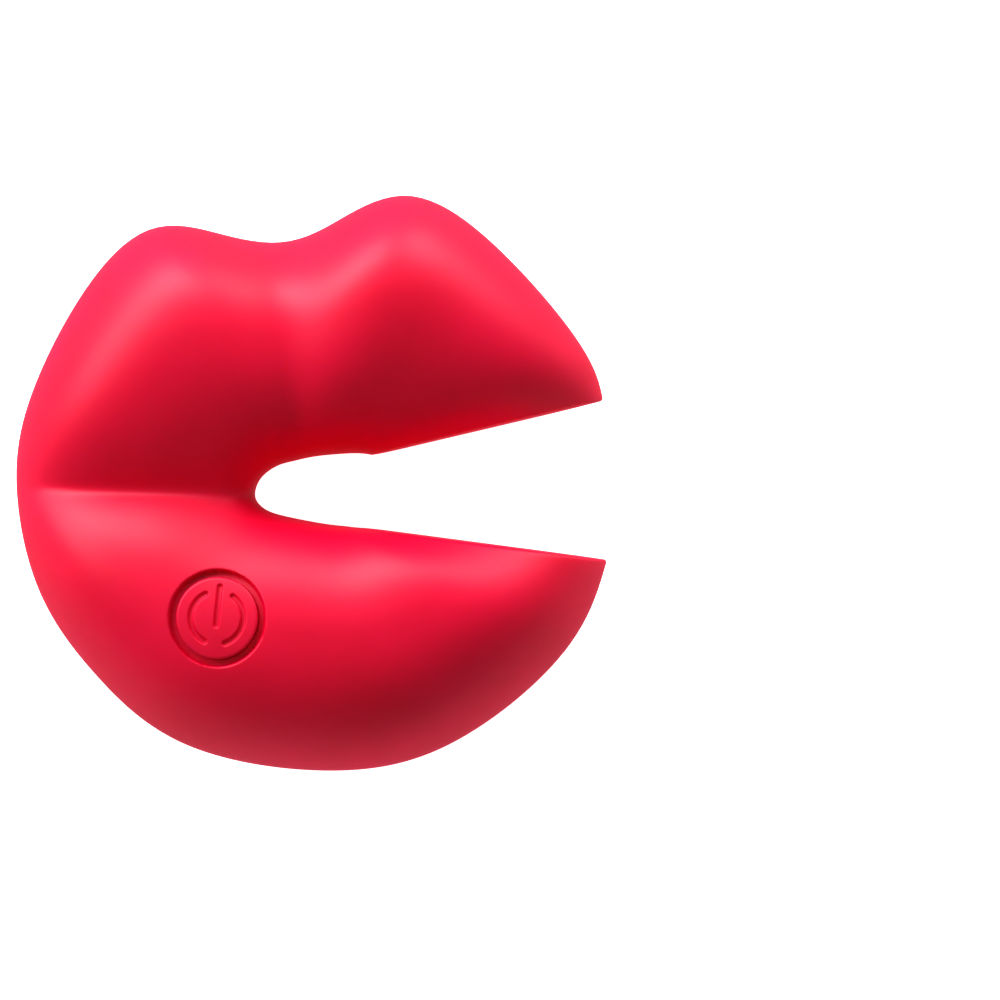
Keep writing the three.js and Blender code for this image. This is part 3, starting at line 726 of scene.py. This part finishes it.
def build_button():
    """The round face of the button: a disc that continues the lip's surface.

    It has a rounded edge, an undercut side, a flat underside and the engraved sign. Its points are a polar
    grid about the seat's axis.
    """
    sizes = bpy.context.scene.lips_sizes
    seat = Seat(skin_points()[0])
    pad = sizes.pad_radius / MM
    turn = np.linspace(0, math.pi / 2, 8)[1:]
    face_radius = np.linspace(0, pad - PAD_EDGE, 74)[1:]
    radius = np.concatenate([
        face_radius,
        pad - PAD_EDGE + PAD_EDGE * np.sin(turn),
        [pad - PAD_UNDERCUT, pad - PAD_UNDERCUT, pad * 0.7, pad * 0.35],
    ])
    sunk = np.concatenate([
        0 * face_radius,
        PAD_EDGE * (1 - np.cos(turn)),
        [PAD_EDGE + 0.06, PAD_SIDE, PAD_SIDE, PAD_SIDE],
    ])
    around = 300
    angle = np.linspace(0, 2 * math.pi, around, endpoint=False)[None, :]
    a = radius[:, None] * np.cos(angle)
    b = radius[:, None] * np.sin(angle)
    cut = np.zeros_like(a)
    cut[:len(face_radius)] = sign_depth(a, b)[:len(face_radius)] * sizes.sign_depth / MM
    rings = seat.place(a, b, sunk[:, None] + cut)
    zero = np.zeros(1)
    poles = np.concatenate([
        seat.place(zero, zero, sign_depth(zero, zero) * sizes.sign_depth / MM),
        seat.place(zero, zero, np.full(1, PAD_SIDE)),
    ])
    count = len(radius)
    flat = np.concatenate([rings.reshape(-1, 3), poles])
    faces = [
        ring_faces(count, around),
        fan_faces(0, around, count * around, True),
        fan_faces((count - 1) * around, around, count * around + 1, False),
    ]
    return put_mesh("button_face", flat, outward(flat, faces))


def build_ribs():
    """Short ribs on the curved back edge of the upper lip: half-sunk bars whose section and ends follow a
    superellipsoid of power 2.6, one for each place along the rim."""
    sizes = bpy.context.scene.lips_sizes
    stations = RIBS["first"] + RIBS["step"] * np.arange(RIBS["count"])
    near = np.concatenate([stations - 0.01, stations, stations + 0.01])
    shares = RIBS["share"] + np.array([-0.004, 0, 0.004])
    grid = even_rows(lip_sections(near), shares).reshape(3, RIBS["count"], 3, 3)
    along = grid[2, :, 1] - grid[0, :, 1]
    across = grid[1, :, 2] - grid[1, :, 0]
    out = np.cross(along, across)
    along, across, out = [v / np.linalg.norm(v, axis=1, keepdims=True) for v in (along, across, out)]
    rings, around = 15, 28
    lift = np.linspace(-math.pi / 2, math.pi / 2, rings + 2)[1:-1][:, None]
    turn = np.linspace(0, 2 * math.pi, around, endpoint=False)[None, :]

    def full(value):
        return np.sign(value) * np.abs(value) ** (2 / 2.6)

    x = full(np.cos(lift)) * full(np.cos(turn)) * RIBS["half_width"]
    y = full(np.cos(lift)) * full(np.sin(turn)) * RIBS["half_length"]
    z = full(np.sin(lift)) * np.ones_like(turn) * sizes.rib_height / MM - y**2 / (2 * RIM_REACH)
    local = np.concatenate([np.stack([x, y, z], axis=2).reshape(-1, 3),
                            [[0, 0, -sizes.rib_height / MM], [0, 0, sizes.rib_height / MM]]])
    axes = np.stack([along, across, out], axis=1)
    points = (local[None] @ axes + grid[1, :, 1][:, None]).reshape(-1, 3)
    each = len(local)
    one = [
        ring_faces(rings, around),
        fan_faces(0, around, rings * around, True),
        fan_faces((rings - 1) * around, around, rings * around + 1, False),
    ]
    faces = [part + each * k for k in range(RIBS["count"]) for part in one]
    return put_mesh("back_ribs", points, outward(points, faces))


# ---- Operators ----

class LIPS_OT_skin(bpy.types.Operator):
    """Builds the soft silicone skin, which curves round the closed corner of the mouth"""

    bl_idname = "lips.skin"
    bl_label = "Silicone Skin"

    def execute(self, context):
        skin = build_skin()
        skin.data.materials.append(bpy.data.materials.get(SKIN_FINISH) or silicone())
        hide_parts("lower_sleeve", "upper_sleeve")
        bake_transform(skin)
        return {"FINISHED"}


class LIPS_OT_button(bpy.types.Operator):
    """Builds the round button with its engraved standby sign"""

    bl_idname = "lips.button"
    bl_label = "Button"

    def execute(self, context):
        button = build_button()
        button.data.materials.append(bpy.data.materials.get(SKIN_FINISH) or silicone())
        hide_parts("button_pad")
        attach(button, "button")
        return {"FINISHED"}


class LIPS_OT_ribs(bpy.types.Operator):
    """Builds the short ribs on the back of the upper lip"""

    bl_idname = "lips.ribs"
    bl_label = "Back Ribs"

    def execute(self, context):
        ribs = build_ribs()
        ribs.data.materials.append(bpy.data.materials.get(SKIN_FINISH) or silicone())
        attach(ribs, "upper_lip")
        return {"FINISHED"}


class LIPS_OT_inside(bpy.types.Operator):
    """Gives each part of the frame its finish, by its material slot in the record"""

    bl_idname = "lips.inside"
    bl_label = "Inner Parts"

    def execute(self, context):
        slots = {part["node"]: part["material_slot"] for part in frame["record"]["subparts"]}
        inner = {node: slot for node, slot in slots.items() if slot in INNER_FINISHES}
        finishes = {slot: INNER_FINISHES[slot]() for slot in sorted(set(inner.values()))}
        for node, slot in inner.items():
            materials = frame["nodes"][node].data.materials
            materials.clear()
            materials.append(finishes[slot])
        return {"FINISHED"}


class LIPS_OT_stage(bpy.types.Operator):
    """Sets the pale floor, the soft lights and the camera"""

    bl_idname = "lips.stage"
    bl_label = "Stage"

    def execute(self, context):
        build_stage()
        return {"FINISHED"}


def build_stage():
    """A pale floor, three soft lights beyond the upper lip, a dim room, and a camera over the front."""
    colours = bpy.context.scene.lips_colours
    around = 48
    angle = np.linspace(0, 2 * math.pi, around, endpoint=False)
    floor_points = np.stack([2500 * np.cos(angle), 2500 * np.sin(angle), np.full(around, -0.05)], axis=1)
    floor_points = np.concatenate([floor_points, [[0, 0, -0.05]]])
    floor = put_mesh("floor", floor_points, [fan_faces(0, around, around, False)])
    material, place = new_finish("floor_paper")
    fibre = place.noise(900, 3)
    diffuse = place.node("ShaderNodeBsdfPrincipled", {
        "Base Color": (fibre * 0.1).mix(tuple(colours.floor), (0.86, 0.86, 0.86, 1)),
        "Roughness": 0.8 + fibre * 0.1,
        "Emission Color": (1, 1, 1, 1),
        "Emission Strength": 0.75,
    })
    place.node("ShaderNodeOutputMaterial", {"Surface": diffuse})
    floor.data.materials.append(material)
    floor.visible_glossy = False
    world = bpy.data.worlds.new("room")
    bpy.context.scene.world = world
    world.use_nodes = True
    world.node_tree.nodes["Background"].inputs["Color"].default_value = (1, 1, 1, 1)
    world.node_tree.nodes["Background"].inputs["Strength"].default_value = 0.22
    target = Vector((0, 0, 10 * MM))
    for name, direction, distance, size, watts in LIGHTS:
        lamp = bpy.data.lights.new(name, "AREA")
        lamp.shape = "RECTANGLE"
        lamp.size, lamp.size_y = size
        lamp.energy = watts
        place = target + Vector(direction).normalized() * distance
        made = bpy.data.objects.new(name, lamp)
        made.location = place
        made.rotation_euler = (target - place).to_track_quat("-Z", "Y").to_euler()
        bpy.context.scene.collection.objects.link(made)
    camera = bpy.data.cameras.new("camera")
    camera.lens = CAMERA["lens"]
    camera.clip_start = 0.01
    camera.clip_end = 20
    made = bpy.data.objects.new("camera", camera)
    made.location = Vector(CAMERA["place"]) * MM
    made.rotation_euler = (0, 0, math.radians(CAMERA["turn"]))
    bpy.context.scene.collection.objects.link(made)
    bpy.context.scene.camera = made
    bpy.context.scene.view_settings.view_transform = "Standard"
    bpy.context.scene.view_settings.look = "High Contrast"


class LIPS_PT_panel(bpy.types.Panel):
    """The massager's pieces and stage, with their sizes and colours"""

    bl_idname = "LIPS_PT_panel"
    bl_label = "Lips Massager"
    bl_space_type = "VIEW_3D"
    bl_region_type = "UI"
    bl_category = "Lips"

    def draw(self, context):
        for operator in OPERATORS:
            self.layout.operator(operator.bl_idname)
        for group in (context.scene.lips_sizes, context.scene.lips_colours):
            column = self.layout.column()
            for name in group.__annotations__:
                column.prop(group, name)


OPERATORS = (LIPS_OT_skin, LIPS_OT_button, LIPS_OT_ribs, LIPS_OT_inside, LIPS_OT_stage)
CLASSES = (LipsSizes, LipsColours) + OPERATORS + (LIPS_PT_panel,)


def register():
    for entry in CLASSES:
        bpy.utils.register_class(entry)
    bpy.types.Scene.lips_sizes = bpy.props.PointerProperty(type=LipsSizes)
    bpy.types.Scene.lips_colours = bpy.props.PointerProperty(type=LipsColours)


def unregister():
    del bpy.types.Scene.lips_colours
    del bpy.types.Scene.lips_sizes
    for entry in reversed(CLASSES):
        bpy.utils.unregister_class(entry)


def main():
    register()
    bpy.ops.lips.stage()
    bpy.ops.lips.skin()
    bpy.ops.lips.button()
    bpy.ops.lips.ribs()
    bpy.ops.lips.inside()


if __name__ == "__main__":
    main()
